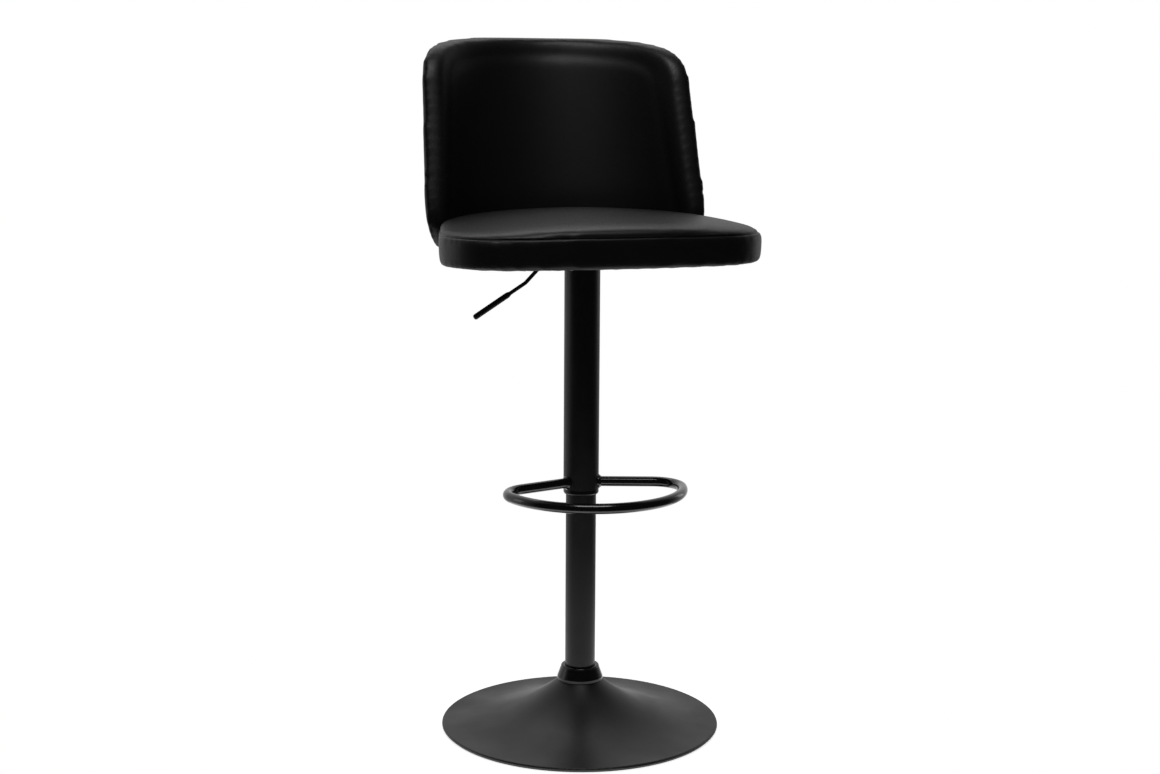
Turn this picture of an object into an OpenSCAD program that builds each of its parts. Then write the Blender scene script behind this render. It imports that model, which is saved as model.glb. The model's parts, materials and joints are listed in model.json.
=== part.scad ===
// Bar stool with a wrap-around padded back, a gas lift column and a looped footrest.
// Millimetres, +Z up, the floor at z = 0, the column on the Z axis, the front towards -Y.

/* [Base] */
// Outside diameter of the round base
base_d = 445; // [400:5:490]
// Thickness of the floor pad under the base
pad_t = 2; // [1:0.5:4]
// Height of the rolled rim of the base cover
rim_h = 5; // [4:0.5:8]
// Sheet thickness of the base cover
cover_t = 1.5; // [1:0.25:2.5]
// Height of the neck of the base cover above the floor
neck_h = 77; // [65:1:95]
// Thickness of the steel plate that closes the base
plate_t = 1.5; // [1:0.5:4]
// Outside diameter of the cast ballast ring
ballast_d = 300; // [240:5:330]
// Height of the cast ballast ring
ballast_h = 8; // [5:0.5:10]
// Height of the plastic collar that covers the neck
collar_h = 23; // [18:1:32]
// How far the collar's lower edge stands out from the column
collar_out = 12.5; // [11:0.5:16]

/* [Column] */
// Outside diameter of the lower column
column_d = 48; // [44:1:52]
// Wall of the lower column
column_wall = 1.8; // [1.2:0.1:2.5]
// Height of the lower column's top above the floor
column_top = 495; // [400:5:500]
// Radial room between the lower column and the upper sleeve
sleeve_gap = 2.5; // [2:0.1:5]
// Wall of the upper sleeve
sleeve_wall = 1.5; // [1:0.1:2.5]
// Height of the lower end of the sleeve's end ring
sleeve_low = 382; // [370:1:420]
// Height of the plastic end ring
end_ring_h = 8; // [6:1:12]
// Outside diameter of the gas cylinder
cylinder_d = 28; // [26:1:30]
// Diameter of the piston rod
rod_d = 10; // [8:1:12]
// How far the seat can sink
lift_stroke = 200; // [150:5:200]
// Radial clearance of parts that slide or turn in each other
running_gap = 0.06; // [0.02:0.01:0.1]
// Radial clearance of parts that pass each other freely
free_gap = 0.4; // [0.3:0.1:1]

/* [Footrest] */
// Diameter of the footrest tube
foot_d = 16; // [12:1:20]
// Wall of the footrest tube
foot_wall = 1.5; // [1:0.1:2.5]
// Height of the footrest's centreline
foot_z = 401; // [398:1:440]
// Angle by which the side bars sweep forward
foot_sweep = 17.5; // [5:0.5:25]
// Distance from the column's axis to where a side bar starts to bend
foot_reach = 112; // [95:1:130]
// Centreline radius of the two bends
foot_bend_r = 46; // [35:1:55]
// Centreline radius of the front bow
foot_bow_r = 141.5; // [125:0.5:170]
// Height of the weld bead around each side bar
weld_h = 3; // [2:0.5:5]

/* [Seat] */
// Height of the seat's underside
seat_low = 757; // [740:1:800]
// Height of the cushion's side band
band_h = 49; // [40:1:60]
// Rise of the crowned top above the band
crown_h = 20; // [10:1:30]
// How far the cushion's sides stand out beyond its rear curve
seat_side_out = 16; // [8:1:30]
// Distance from the column's axis to the cushion's front
seat_front = 210; // [200:1:230]
// Radius of the cushion's front corners
corner_r = 95; // [80:1:102]
// Margin from the cushion's side to the seat board
board_margin = 14; // [10:1:25]
// Thickness of the seat board
board_t = 12; // [9:1:18]
// Room over the seat board for the tee nut flanges
tee_flange_t = 1.5; // [1:0.5:2.5]
// Thickness of the dust cover
dust_t = 1; // [0.5:0.5:2]

/* [Mechanism] */
// Length of the seat plate
plate_l = 180; // [170:2:220]
// Width of the seat plate
plate_w = 150; // [140:2:180]
// Sheet thickness of the seat plate
seat_plate_t = 3; // [2:0.5:4]
// Length of the lever box under the seat plate
box_l = 110; // [106:2:120]
// Width of the lever box
box_w = 70; // [66:2:80]
// Depth of the lever box, from the plate's underside
box_h = 13; // [13:0.5:16]
// Sheet thickness of the lever box
box_t = 2.5; // [2:0.5:3]
// Distance between the seat bolts along the plate
bolt_gap_x = 140; // [136:2:150]
// Distance between the seat bolts across the plate
bolt_gap_y = 112; // [104:2:120]
// Thread diameter of the seat bolts
bolt_d = 6; // [5:1:8]
// Diameter of the lever's rod
lever_d = 6; // [5:0.5:7]
// Distance from the column's axis to the lever's pivot
pivot_x = 36; // [32:1:40]
// How far out the lever's grip ends
lever_out = 174; // [160:2:200]
// Drop from the lever's pivot to the end of its grip
lever_drop = 83; // [60:1:95]
// Diameter of the lever's grip
grip_d = 9; // [8:0.5:14]

/* [Backrest] */
// Radius of the backrest's curve, to the middle of its thickness
back_r = 245; // [240:1:270]
// Distance from the column's axis to the middle of the back at its foot
back_y = 198; // [190:1:215]
// Thickness of the padded back
back_t = 26; // [24:1:34]
// Angle by which the back leans rearwards
recline = 11; // [6:0.5:16]
// Height of the back, from the seat's underside to its top edge
back_h = 338; // [300:1:400]
// Distance forward of the side ends at the foot of the back
wing_y = 52; // [40:1:80]
// Lean of the side ends, from upright
wing_lean = 16.2; // [12:0.2:22]
// Radius of the upper corners, seen from the side
wing_top_r = 75; // [50:1:95]
// Radius of the lower corners, seen from the side
wing_low_r = 58; // [40:1:75]
// Radius of the bow of the top edge, seen from the side
top_bow_r = 280; // [260:5:400]
// Thickness of the bent plywood inside the back
ply_t = 9; // [6:1:10]
// Thickness of the pad on the sitter's side
inner_pad_t = 10; // [8:1:12]
// Width of the padded roll along the back's edge
roll_w = 26; // [20:1:34]
// How deep the plywood reaches into the edge roll
roll_grip = 15; // [8:1:18]
// Thickness of the steel straps that hold the back
strap_t = 3; // [2:0.5:4]
// Width of the steel straps
strap_w = 28; // [22:1:36]
// Angle from the middle strap to each side strap
strap_turn = 38; // [32:1:48]

/* [Hidden] */
$fn = 96;

// Base
base_r = base_d / 2;
neck_r = column_d / 2 + collar_out - 2.5;
rim_z = pad_t + rim_h;
arc_rise = neck_h - rim_z;
arc_run = base_r - neck_r;
arc_r = (arc_run * arc_run + arc_rise * arc_rise) / (2 * arc_rise);
plate_z = pad_t + plate_t;
hub_r = neck_r - cover_t - 1;
column_r = column_d / 2;
column_in = column_r - column_wall;
column_low = 12;
taper_in = 1;
end_plate_t = 4;
bearing_z = column_low + end_plate_t;
bearing_h = 7;
rod_r = rod_d / 2;
rod_neck_r = rod_r - 1;
shoulder_z = bearing_z + bearing_h;
buffer_h = 12;
// Column
sleeve_in = column_r + sleeve_gap;
sleeve_r = sleeve_in + sleeve_wall;
cylinder_r = cylinder_d / 2;
cylinder_in = cylinder_r - 2;
cylinder_low = shoulder_z + buffer_h + 5 + lift_stroke;
cylinder_floor = 4;
seal_h = 10;
piston_z = cylinder_low + cylinder_floor + seal_h + 2;
piston_h = 12;
bush_h = 80;
bush_lip = 3;
// Mechanism
plate_low = seat_low - seat_plate_t;
box_low = plate_low - box_h;
sleeve_top = box_low;
cylinder_top = box_low;
socket_low = cylinder_top - 41;
socket_wall = 4;
taper_drop = 1;
lever_r = lever_d / 2;
lever_z = plate_low - lever_r - 1;
pin_r = 3.5;
pin_gap = 0.3;
pin_top = lever_z - lever_r - pin_gap;
pin_low = cylinder_top - 7;
pin_bore_low = pin_low - 5.5;
bolt_r = bolt_d / 2;
bolt_x = bolt_gap_x / 2;
bolt_y = bolt_gap_y / 2;
washer_t = 1.5;
head_h = 5;
lever_bend = [-pivot_x - 26, lever_z];
lever_knee = [-pivot_x - 56, lever_z - 31];
lever_end = [-lever_out, lever_z - lever_drop];
grip_share = 0.31;
elbow_r = 9;
pin_reach = 6;
ear_y = lever_r + 1.5;
ear_t = 2;
// Back
back_axis_y = back_y - back_r;
face_in = back_r - back_t / 2;
face_out = back_r + back_t / 2;
ply_in = face_in + inner_pad_t;
ply_out = ply_in + ply_t;
back_low = seat_low;
back_top = seat_low + back_h;
tilt_z = seat_low + 5;
// Side view of the back, as [y, z]: the centres of the top edge's bow and of the two corners
top_bow_c = [back_y + (back_top - tilt_z) * tan(recline), back_top - top_bow_r];
wing_low_c = [wing_line_y(wing_low_r, back_low + wing_low_r), back_low + wing_low_r];
bow_q = wing_line_y(wing_top_r, top_bow_c[1]) - top_bow_c[0];
bow_a = 1 + pow(tan(wing_lean), 2);
bow_b = 2 * tan(wing_lean) * bow_q;
bow_k = bow_q * bow_q - pow(top_bow_r - wing_top_r, 2);
bow_w = (sqrt(bow_b * bow_b - 4 * bow_a * bow_k) - bow_b) / (2 * bow_a);
wing_top_c = [wing_line_y(wing_top_r, top_bow_c[1] + bow_w), top_bow_c[1] + bow_w];
// Seat plan: a big rear circle, two corner circles, their tangents and a bowed front
seat_top = seat_low + band_h;
rear_gap = strap_t + 2;
rear_r = face_in - rear_gap;
seat_half_w = rear_r + seat_side_out;
corner_x = seat_half_w - corner_r;
corner_y = -seat_front + corner_r + 12;
bow_run = seat_front + corner_y;
bow_r = (corner_x * corner_x + bow_run * bow_run - corner_r * corner_r) / (2 * (bow_run - corner_r));
crown_r = (seat_half_w * seat_half_w + crown_h * crown_h) / (2 * crown_h);
// Straight sides sit this little inside the round corners, so that the two cross cleanly
tuck = 0.05;

// Where a circle of radius r at height z has its centre, to touch the wing's slanted end line
function wing_line_y(r, z) = wing_y + r / cos(wing_lean) + (z - tilt_z) * tan(wing_lean);
// Point at a distance r from a centre, in direction a
function polar(c, r, a) = [c[0] + r * cos(a), c[1] + r * sin(a)];
// Ring about the Z axis
module ring(r_out, r_in, low, high) {
    difference() {
        translate([0, 0, low]) cylinder(r = r_out, h = high - low);
        translate([0, 0, low - 1]) cylinder(r = r_in, h = high - low + 2);
    }
}

// Everything at the four seat bolt positions
module at_bolts() {
    for (sx = [-1, 1], sy = [-1, 1]) translate([sx * bolt_x, sy * bolt_y, 0]) children();
}

// ---- Base ----
module floor_pad() {
    color([0.05, 0.05, 0.05]) cylinder(r = base_r - 4, h = pad_t);
}

module base_plate() {
    color([0.2, 0.2, 0.2]) translate([0, 0, pad_t]) cylinder(r = base_r - rim_h - 1, h = plate_t);
}

module base_ballast() {
    color([0.25, 0.24, 0.23]) ring(ballast_d / 2, hub_r + 22, plate_z, plate_z + ballast_h);
}

module base_hub() {
    color([0.18, 0.18, 0.18])
    difference() {
        union() {
            translate([0, 0, plate_z]) cylinder(r = hub_r + 18, h = 4);
            translate([0, 0, plate_z]) cylinder(r = hub_r, h = neck_h - plate_z);
        }
        translate([0, 0, column_low])
            cylinder(r1 = column_r - taper_in, r2 = column_r, h = neck_h - column_low);
        translate([0, 0, plate_z - 1]) cylinder(r = column_r - 6, h = neck_h);
        translate([0, 0, neck_h - 0.5]) cylinder(r = column_r, h = 1);
    }
}

module cover_profile() {
    // Sheet under the concave arc
    intersection() {
        difference() {
            translate([base_r, rim_z + arc_r]) circle(r = arc_r + cover_t, $fn = 360);
            translate([base_r, rim_z + arc_r]) circle(r = arc_r, $fn = 360);
        }
        translate([neck_r - 1, pad_t]) square([base_r - rim_h / 2 - neck_r + 1, neck_h - pad_t]);
    }
}

module base_cover() {
    color([0.06, 0.06, 0.06])
    union() {
        rotate_extrude($fn = 180) cover_profile();
        rotate_extrude($fn = 180) translate([base_r - rim_h / 2, pad_t + rim_h / 2]) circle(d = rim_h);
    }
}

module base_collar() {
    collar_top = neck_h + collar_h;
    low_r = column_r + collar_out;
    top_r = low_r - 6;
    lip = 2.5;
    color([0.03, 0.03, 0.03])
    rotate_extrude()
    difference() {
        union() {
            polygon([[column_r, neck_h], [low_r, neck_h], [low_r, neck_h + 4],
                     [top_r, collar_top - lip], [column_r, collar_top - lip]]);
            translate([top_r - lip, collar_top - lip]) circle(r = lip);
            translate([column_r, collar_top - 2 * lip]) square([top_r - lip - column_r, 2 * lip]);
        }
        translate([0, neck_h - 1]) square([column_r + 0.1, collar_h + 2]);
    }
}

// ---- Lower column ----
module lower_column() {
    color([0.07, 0.07, 0.07])
    difference() {
        union() {
            translate([0, 0, column_low])
                cylinder(r1 = column_r - taper_in, r2 = column_r, h = neck_h - column_low);
            translate([0, 0, neck_h]) cylinder(r = column_r, h = column_top - neck_h);
        }
        translate([0, 0, column_low - 1]) cylinder(r = column_in - taper_in, h = neck_h - column_low + 2);
        translate([0, 0, neck_h]) cylinder(r = column_in, h = column_top);
    }
}

module column_end_plate() {
    color([0.3, 0.3, 0.3])
    ring(column_in - taper_in, rod_neck_r + free_gap, column_low, column_low + end_plate_t);
}

module thrust_bearing() {
    // Two races with a caged ring of rollers between them
    color([0.6, 0.6, 0.6])
    union() {
        ring(11, rod_neck_r + free_gap, bearing_z, bearing_z + 1.5);
        ring(9.5, rod_neck_r + 1.5, bearing_z + 1.5, shoulder_z - 1.5);
        ring(11, rod_neck_r + free_gap, shoulder_z - 1.5, shoulder_z);
    }
}

module guide_bush() {
    color([0.12, 0.12, 0.12])
    difference() {
        union() {
            translate([0, 0, column_top - bush_h]) cylinder(r = column_in, h = bush_h);
            translate([0, 0, column_top]) cylinder(r = column_r, h = bush_lip);
        }
        translate([0, 0, column_top - bush_h - 1])
            cylinder(r = cylinder_r + running_gap, h = bush_h + bush_lip + 2);
    }
}

// ---- Piston rod, turns with the seat on the thrust bearing ----
module piston_rod() {
    color([0.7, 0.7, 0.72])
    difference() {
        union() {
            translate([0, 0, shoulder_z]) cylinder(r = rod_r, h = piston_z - shoulder_z);
            translate([0, 0, column_low - 5]) cylinder(r = rod_neck_r, h = shoulder_z - column_low + 5);
            translate([0, 0, piston_z]) cylinder(r = rod_r - 1.5, h = piston_h + 2);
        }
        ring(rod_neck_r + 1, rod_neck_r - 0.8, column_low - 2.5, column_low - 1);
    }
}

module piston_head() {
    color([0.15, 0.15, 0.15])
    ring(cylinder_in - running_gap, rod_r - 1.5, piston_z, piston_z + piston_h);
}

module rod_clip() {
    color([0.5, 0.5, 0.5])
    difference() {
        ring(rod_neck_r + 3, rod_neck_r - 0.8, column_low - 2.5, column_low - 1);
        translate([0, -2, column_low - 4]) cube([rod_neck_r + 6, 4, 6]);
    }
}

module rod_buffer() {
    color([0.05, 0.05, 0.05]) ring(10, rod_r, shoulder_z, shoulder_z + buffer_h);
}

// ---- Gas cylinder and sleeve, move with the seat ----
module gas_cylinder() {
    color([0.1, 0.1, 0.1])
    difference() {
        union() {
            translate([0, 0, cylinder_low]) cylinder(r = cylinder_r, h = socket_low - cylinder_low);
            translate([0, 0, socket_low])
                cylinder(r1 = cylinder_r, r2 = cylinder_r - taper_drop, h = cylinder_top - socket_low);
        }
        translate([0, 0, cylinder_low - 1]) cylinder(r = rod_r + free_gap, h = cylinder_floor + 2);
        translate([0, 0, cylinder_low + cylinder_floor])
            cylinder(r = cylinder_in, h = socket_low - 15 - cylinder_low - cylinder_floor);
        translate([0, 0, pin_bore_low]) cylinder(r = pin_r + running_gap, h = 40);
    }
}

module cylinder_seal() {
    seal_low = cylinder_low + cylinder_floor;
    color([0.05, 0.05, 0.05]) ring(cylinder_in, rod_r + running_gap, seal_low, seal_low + seal_h);
}

module upper_sleeve() {
    color([0.06, 0.06, 0.06]) ring(sleeve_r, sleeve_in, sleeve_low + end_ring_h, sleeve_top);
}

module sleeve_end_ring() {
    round_r = 3;
    spigot_h = 12;
    color([0.03, 0.03, 0.03])
    rotate_extrude()
    difference() {
        union() {
            translate([0, sleeve_low + round_r]) square([sleeve_r, end_ring_h - round_r]);
            translate([0, sleeve_low]) square([sleeve_r - round_r, end_ring_h]);
            translate([sleeve_r - round_r, sleeve_low + round_r]) circle(r = round_r);
            translate([0, sleeve_low]) square([sleeve_in, end_ring_h + spigot_h]);
        }
        translate([-1, sleeve_low - 1])
            square([column_r + free_gap + 1, end_ring_h + spigot_h + 2]);
    }
}

// ---- Footrest ----
foot_start = -foot_sweep;
bend_c = [foot_reach * cos(foot_start) + foot_bend_r * cos(foot_start - 90),
          foot_reach * sin(foot_start) + foot_bend_r * sin(foot_start - 90)];
bow_turn = acos(bend_c[0] / (foot_bow_r - foot_bend_r));
bow_c_y = bend_c[1] + (foot_bow_r - foot_bend_r) * sin(bow_turn);

// Rod along the footrest's path; the bends are drawn in by the tuck, and the pieces beside them
// reach a little way into them
module foot_path(r) {
    reach_in = 1;
    bow_more = reach_in / foot_bow_r * 180 / PI;
    for (side = [0, 1]) mirror([side, 0, 0]) {
        rotate([0, 0, foot_start]) rotate([0, 90, 0]) cylinder(r = r, h = foot_reach + reach_in);
        translate([bend_c[0], bend_c[1], 0]) rotate([0, 0, -bow_turn])
            rotate_extrude(angle = 90 - foot_sweep + bow_turn)
                translate([foot_bend_r, 0]) circle(r = r - tuck);
    }
    translate([0, bow_c_y, 0]) rotate([0, 0, 180 + bow_turn - bow_more])
        rotate_extrude(angle = 180 - 2 * bow_turn + 2 * bow_more)
            translate([foot_bow_r, 0]) circle(r = r);
}

module footrest_loop() {
    color([0.04, 0.04, 0.04])
    translate([0, 0, foot_z])
    difference() {
        foot_path(foot_d / 2);
        foot_path(foot_d / 2 - foot_wall);
        translate([0, 0, -foot_d]) cylinder(r = sleeve_r, h = 2 * foot_d);
    }
}

module footrest_welds() {
    bar_r = foot_d / 2;
    bead_r = bar_r + weld_h;
    color([0.05, 0.05, 0.05])
    translate([0, 0, foot_z])
    difference() {
        for (side = [0, 1]) mirror([side, 0, 0]) rotate([0, 0, foot_start]) rotate([0, 90, 0])
            rotate_extrude()
                polygon([[bar_r, sleeve_r - 4], [bead_r, sleeve_r - 4], [bead_r, sleeve_r + 0.6],
                         [bar_r + 0.5, sleeve_r + 0.6 + weld_h], [bar_r, sleeve_r + 0.6 + weld_h]]);
        translate([0, 0, -2 * foot_d]) cylinder(r = sleeve_r, h = 4 * foot_d);
    }
}

// ---- Seat mechanism ----
module taper_socket() {
    socket_r = cylinder_r + socket_wall;
    color([0.15, 0.15, 0.15])
    difference() {
        translate([0, 0, socket_low]) cylinder(r = socket_r, h = cylinder_top + box_t - socket_low);
        translate([0, 0, socket_low])
            cylinder(r1 = cylinder_r, r2 = cylinder_r - taper_drop, h = cylinder_top - socket_low);
        translate([0, 0, cylinder_top - 0.5]) cylinder(r = cylinder_r - taper_drop, h = box_t + 1);
    }
}

module seat_plate() {
    notch_w = lever_d + 8;
    color([0.12, 0.12, 0.12])
    difference() {
        translate([-plate_l / 2, -plate_w / 2, plate_low]) cube([plate_l, plate_w, seat_plate_t]);
        at_bolts() translate([0, 0, plate_low - 1]) cylinder(r = bolt_r + 0.3, h = seat_plate_t + 2);
        translate([-plate_l / 2 - 1, -notch_w / 2, plate_low - 1])
            cube([plate_l / 2 + 1 - pivot_x, notch_w, seat_plate_t + 2]);
    }
}

module lever_box() {
    slot_w = lever_d + 4;
    color([0.12, 0.12, 0.12])
    difference() {
        translate([-box_l / 2, -box_w / 2, box_low]) cube([box_l, box_w, box_h]);
        translate([-box_l / 2 + box_t, -box_w / 2 + box_t, box_low + box_t])
            cube([box_l - 2 * box_t, box_w - 2 * box_t, box_h]);
        translate([0, 0, box_low - 1]) cylinder(r = cylinder_r + socket_wall, h = box_t + 2);
        translate([-box_l / 2 - 1, -slot_w / 2, box_low + box_t])
            cube([box_t + 2, slot_w, box_h]);
    }
}

module lever_pivot() {
    // Two upright ears on the floor of the box with a cross pin through them
    ear_l = 10;
    color([0.4, 0.4, 0.4])
    union() {
        for (sy = [-1, 1])
            translate([-pivot_x - ear_l / 2, sy > 0 ? ear_y : -ear_y - ear_t, box_low + box_t])
                cube([ear_l, ear_t, box_h - box_t]);
        translate([-pivot_x, -ear_y - ear_t - 2, lever_z]) rotate([-90, 0, 0])
            cylinder(r = 1.5, h = 2 * (ear_y + ear_t + 2));
    }
}

// Straight round rod between two points of the lever's upright plane
module lever_bar(a, b, r) {
    run = b[0] - a[0];
    rise = b[1] - a[1];
    translate([a[0], 0, a[1]]) rotate([0, atan2(run, rise), 0])
        cylinder(r = r, h = sqrt(run * run + rise * rise));
}

function along(a, b, t) = [a[0] + (b[0] - a[0]) * t, a[1] + (b[1] - a[1]) * t];

// Round elbow of the lever about a centre, from direction a to direction b
module lever_elbow(c, a, b) {
    translate([c[0], 0, c[1]]) rotate([90, 0, 0]) rotate([0, 0, a])
        rotate_extrude(angle = b - a) translate([elbow_r, 0]) circle(r = lever_r - tuck);
}

module release_lever() {
    inner = [pin_reach, lever_z];
    reach_in = 0.4;
    // Angles below the level of the two slanted stretches
    steep = atan2(lever_bend[1] - lever_knee[1], lever_bend[0] - lever_knee[0]);
    flat = atan2(lever_knee[1] - lever_end[1], lever_knee[0] - lever_end[0]);
    // Length that each elbow takes from the stretches beside it
    cut_a = elbow_r * tan(steep / 2);
    cut_b = elbow_r * tan((steep - flat) / 2);
    a1 = [lever_bend[0] + cut_a, lever_bend[1]];
    a2 = [lever_bend[0] - cut_a * cos(steep), lever_bend[1] - cut_a * sin(steep)];
    b1 = [lever_knee[0] + cut_b * cos(steep), lever_knee[1] + cut_b * sin(steep)];
    b2 = [lever_knee[0] - cut_b * cos(flat), lever_knee[1] - cut_b * sin(flat)];
    color([0.05, 0.05, 0.05])
    difference() {
        union() {
            lever_bar(inner, [a1[0] - reach_in, a1[1]], lever_r);
            lever_elbow([a1[0], a1[1] - elbow_r], 90, 90 + steep);
            lever_bar(polar(a2, reach_in, steep), polar(b1, reach_in, 180 + steep), lever_r);
            lever_elbow([b1[0] - elbow_r * sin(steep), b1[1] + elbow_r * cos(steep)],
                        flat - 90, steep - 90);
            lever_bar(polar(b2, reach_in, flat), along(lever_knee, lever_end, 0.95), lever_r);
        }
        translate([-pivot_x, -lever_d, lever_z]) rotate([-90, 0, 0])
            cylinder(r = 1.5 + running_gap, h = 2 * lever_d);
    }
}

module lever_grip() {
    start = along(lever_knee, lever_end, grip_share);
    grip_r = grip_d / 2;
    grip_l = norm(lever_end - start);
    color([0.03, 0.03, 0.03])
    difference() {
        translate([start[0], 0, start[1]])
            rotate([0, atan2(lever_end[0] - start[0], lever_end[1] - start[1]), 0])
                rotate_extrude() polygon([[0, 0], [grip_r - 1, 0], [grip_r, 4], [grip_r, grip_l - 3],
                                          [grip_r - 0.8, grip_l - 0.8], [grip_r - 2.4, grip_l],
                                          [0, grip_l]]);
        lever_bar(lever_knee, along(lever_knee, lever_end, 0.95), lever_r);
    }
}

module release_pin() {
    color([0.6, 0.6, 0.6]) translate([0, 0, pin_low]) cylinder(r = pin_r, h = pin_top - pin_low);
}

module seat_bolts() {
    head_z = plate_low - washer_t - head_h;
    color([0.3, 0.3, 0.3])
    at_bolts() {
        translate([0, 0, head_z]) cylinder(r = bolt_r * 1.9, h = head_h, $fn = 6);
        translate([0, 0, head_z + head_h]) cylinder(r = bolt_r, h = seat_low + dust_t + board_t - 1 - head_z - head_h);
    }
}

module bolt_washers() {
    color([0.55, 0.55, 0.55])
    at_bolts() ring(bolt_r * 2.6, bolt_r, plate_low - washer_t, plate_low);
}

module tee_nuts() {
    board_top = seat_low + dust_t + board_t;
    color([0.6, 0.6, 0.6])
    at_bolts() union() {
        ring(bolt_r + 1.5, bolt_r, seat_low + dust_t + 2, board_top);
        ring(bolt_r + 6, bolt_r, board_top, board_top + tee_flange_t);
    }
}

// ---- Seat ----
// Upright block in the shape of the seat, drawn in by e
module seat_block(e, low, h) {
    rear_c = [0, back_axis_y];
    corner_c = [corner_x, corner_y];
    lean = acos((rear_r - corner_r) / norm(corner_c - rear_c));
    side_a = atan2(corner_c[1] - rear_c[1], corner_c[0] - rear_c[0]) + lean;
    bow_c = [0, bow_r - seat_front];
    front_a = atan2(corner_c[1] - bow_c[1], corner_c[0] - bow_c[0]);
    p1 = polar(rear_c, rear_r - e - tuck, side_a);
    p2 = polar(corner_c, corner_r - e - tuck, side_a);
    p3 = polar(corner_c, corner_r - e - tuck, front_a);
    translate([0, 0, low]) union() {
        intersection() {
            translate(rear_c) cylinder(r = rear_r - e, h = h, $fn = 180);
            translate([-seat_half_w, p1[1] - 30, 0]) cube([2 * seat_half_w, 2 * rear_r, h]);
        }
        for (sx = [-1, 1]) translate([sx * corner_x, corner_y]) cylinder(r = corner_r - e, h = h);
        linear_extrude(h) polygon([p1, p2, p3, [-p3[0], p3[1]], [-p2[0], p2[1]], [-p1[0], p1[1]]]);
        intersection() {
            translate(bow_c) cylinder(r = bow_r - e - tuck, h = h, $fn = 360);
            translate([-p3[0], -seat_front - 10, 0]) cube([2 * p3[0], p3[1] + seat_front + 30, h]);
        }
    }
}

module dust_cover() {
    color([0.08, 0.08, 0.08])
    difference() {
        seat_block(board_margin, seat_low, dust_t);
        at_bolts() translate([0, 0, seat_low - 1]) cylinder(r = bolt_r, h = dust_t + 2);
        strap_holes();
    }
}

module seat_board() {
    board_low = seat_low + dust_t;
    color([0.62, 0.47, 0.3])
    difference() {
        seat_block(board_margin, board_low, board_t);
        at_bolts() {
            translate([0, 0, board_low - 1]) cylinder(r = bolt_r, h = board_t + 2);
            translate([0, 0, board_low + 2]) cylinder(r = bolt_r + 1.5, h = board_t);
        }
        strap_holes();
    }
}

module seat_cushion() {
    color([0.05, 0.05, 0.05])
    difference() {
        intersection() {
            seat_block(0, seat_low, band_h + crown_h);
            translate([0, -12, seat_top + crown_h - crown_r]) sphere(r = crown_r, $fn = 360);
        }
        seat_block(board_margin, seat_low - 1, dust_t + board_t + tee_flange_t + 1.5);
    }
}

// ---- Backrest ----
module lean_back() {
    translate([0, back_y, tilt_z]) rotate([-recline, 0, 0]) translate([0, -back_y, -tilt_z]) children();
}

module back_layer(r_in, r_out) {
    low = tilt_z - 120;
    lean_back() translate([0, back_axis_y, 0]) ring_fine(r_out, r_in, low, back_top + 120);
}

module ring_fine(r_out, r_in, low, high) {
    difference() {
        translate([0, 0, low]) cylinder(r = r_out, h = high - low, $fn = 180);
        translate([0, 0, low - 1]) cylinder(r = r_in, h = high - low + 2, $fn = 180);
    }
}

// The back's outline seen from the side, drawn in by e, as a bar along X
module back_outline(e) {
    low_s = wing_low_r - e - tuck;
    top_s = wing_top_r - e - tuck;
    bow_dir = atan2(wing_top_c[1] - top_bow_c[1], wing_top_c[0] - top_bow_c[0]);
    p_bow = polar(wing_top_c, top_s, bow_dir);
    p_top = polar(wing_top_c, top_s, 180 - wing_lean);
    p_low = polar(wing_low_c, low_s, 180 - wing_lean);
    rear = back_y + 200;
    rotate([90, 0, 90]) translate([0, 0, -face_out - 20]) linear_extrude(2 * face_out + 40)
    union() {
        intersection() {
            polygon([[wing_low_c[0], wing_low_c[1] - low_s], [rear, wing_low_c[1] - low_s],
                     [rear, back_top + 10], [p_bow[0], back_top + 10], p_bow, p_top, p_low]);
            translate(top_bow_c) circle(r = top_bow_r - e - tuck, $fn = 360);
        }
        translate(wing_low_c) circle(r = wing_low_r - e);
        translate(wing_top_c) circle(r = wing_top_r - e);
    }
}

module back_plywood() {
    color([0.6, 0.46, 0.3])
    difference() {
        intersection() {
            back_layer(ply_in, ply_out);
            back_outline(roll_w - roll_grip);
        }
        screw_bores();
    }
}

module back_inner_pad() {
    color([0.05, 0.05, 0.05])
    difference() {
        intersection() {
            back_layer(face_in, ply_in);
            back_outline(roll_w);
        }
        screw_bores();
    }
}

module back_outer_cover() {
    color([0.06, 0.06, 0.06])
    intersection() {
        back_layer(ply_out, face_out);
        back_outline(roll_w);
    }
}

module back_edge_roll() {
    color([0.04, 0.04, 0.04])
    difference() {
        intersection() {
            back_layer(face_in, face_out);
            back_outline(0);
        }
        back_outline(roll_w);
        intersection() {
            back_layer(ply_in, ply_out);
            back_outline(roll_w - roll_grip);
        }
        screw_bores();
    }
}

// Steel straps: a flat foot under the seat board and a leg up the inside of the back
strap_leg_h = 44;
strap_foot_l = 70;
screw_r = 2;
screw_z = [26, 38];

module at_straps() {
    for (turn = [-1, 0, 1]) translate([0, back_axis_y, 0]) rotate([0, 0, turn * strap_turn]) children();
}

module strap_slab() {
    at_straps() translate([-strap_w / 2, face_in - strap_foot_l, plate_low])
        cube([strap_w, strap_foot_l + 40, strap_leg_h + seat_plate_t]);
}

module strap_holes() {
    at_straps() translate([0, face_in - strap_foot_l + 14, seat_low - 1])
        cylinder(r = screw_r, h = dust_t + 8);
}

module screw_bores() {
    for (k = screw_z) at_screws(k) translate([0, 0, -1]) cylinder(r = screw_r, h = 18);
}

// Frame of each strap screw: +Z into the plywood, on the strap's inner face
module at_screws(k) {
    for (turn = [-1, 0, 1])
        lean_back() translate([0, back_axis_y, seat_low + k])
            rotate([0, 0, turn * strap_turn]) translate([0, face_in - strap_t, 0])
                rotate([-90, 0, 0]) children();
}

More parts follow.
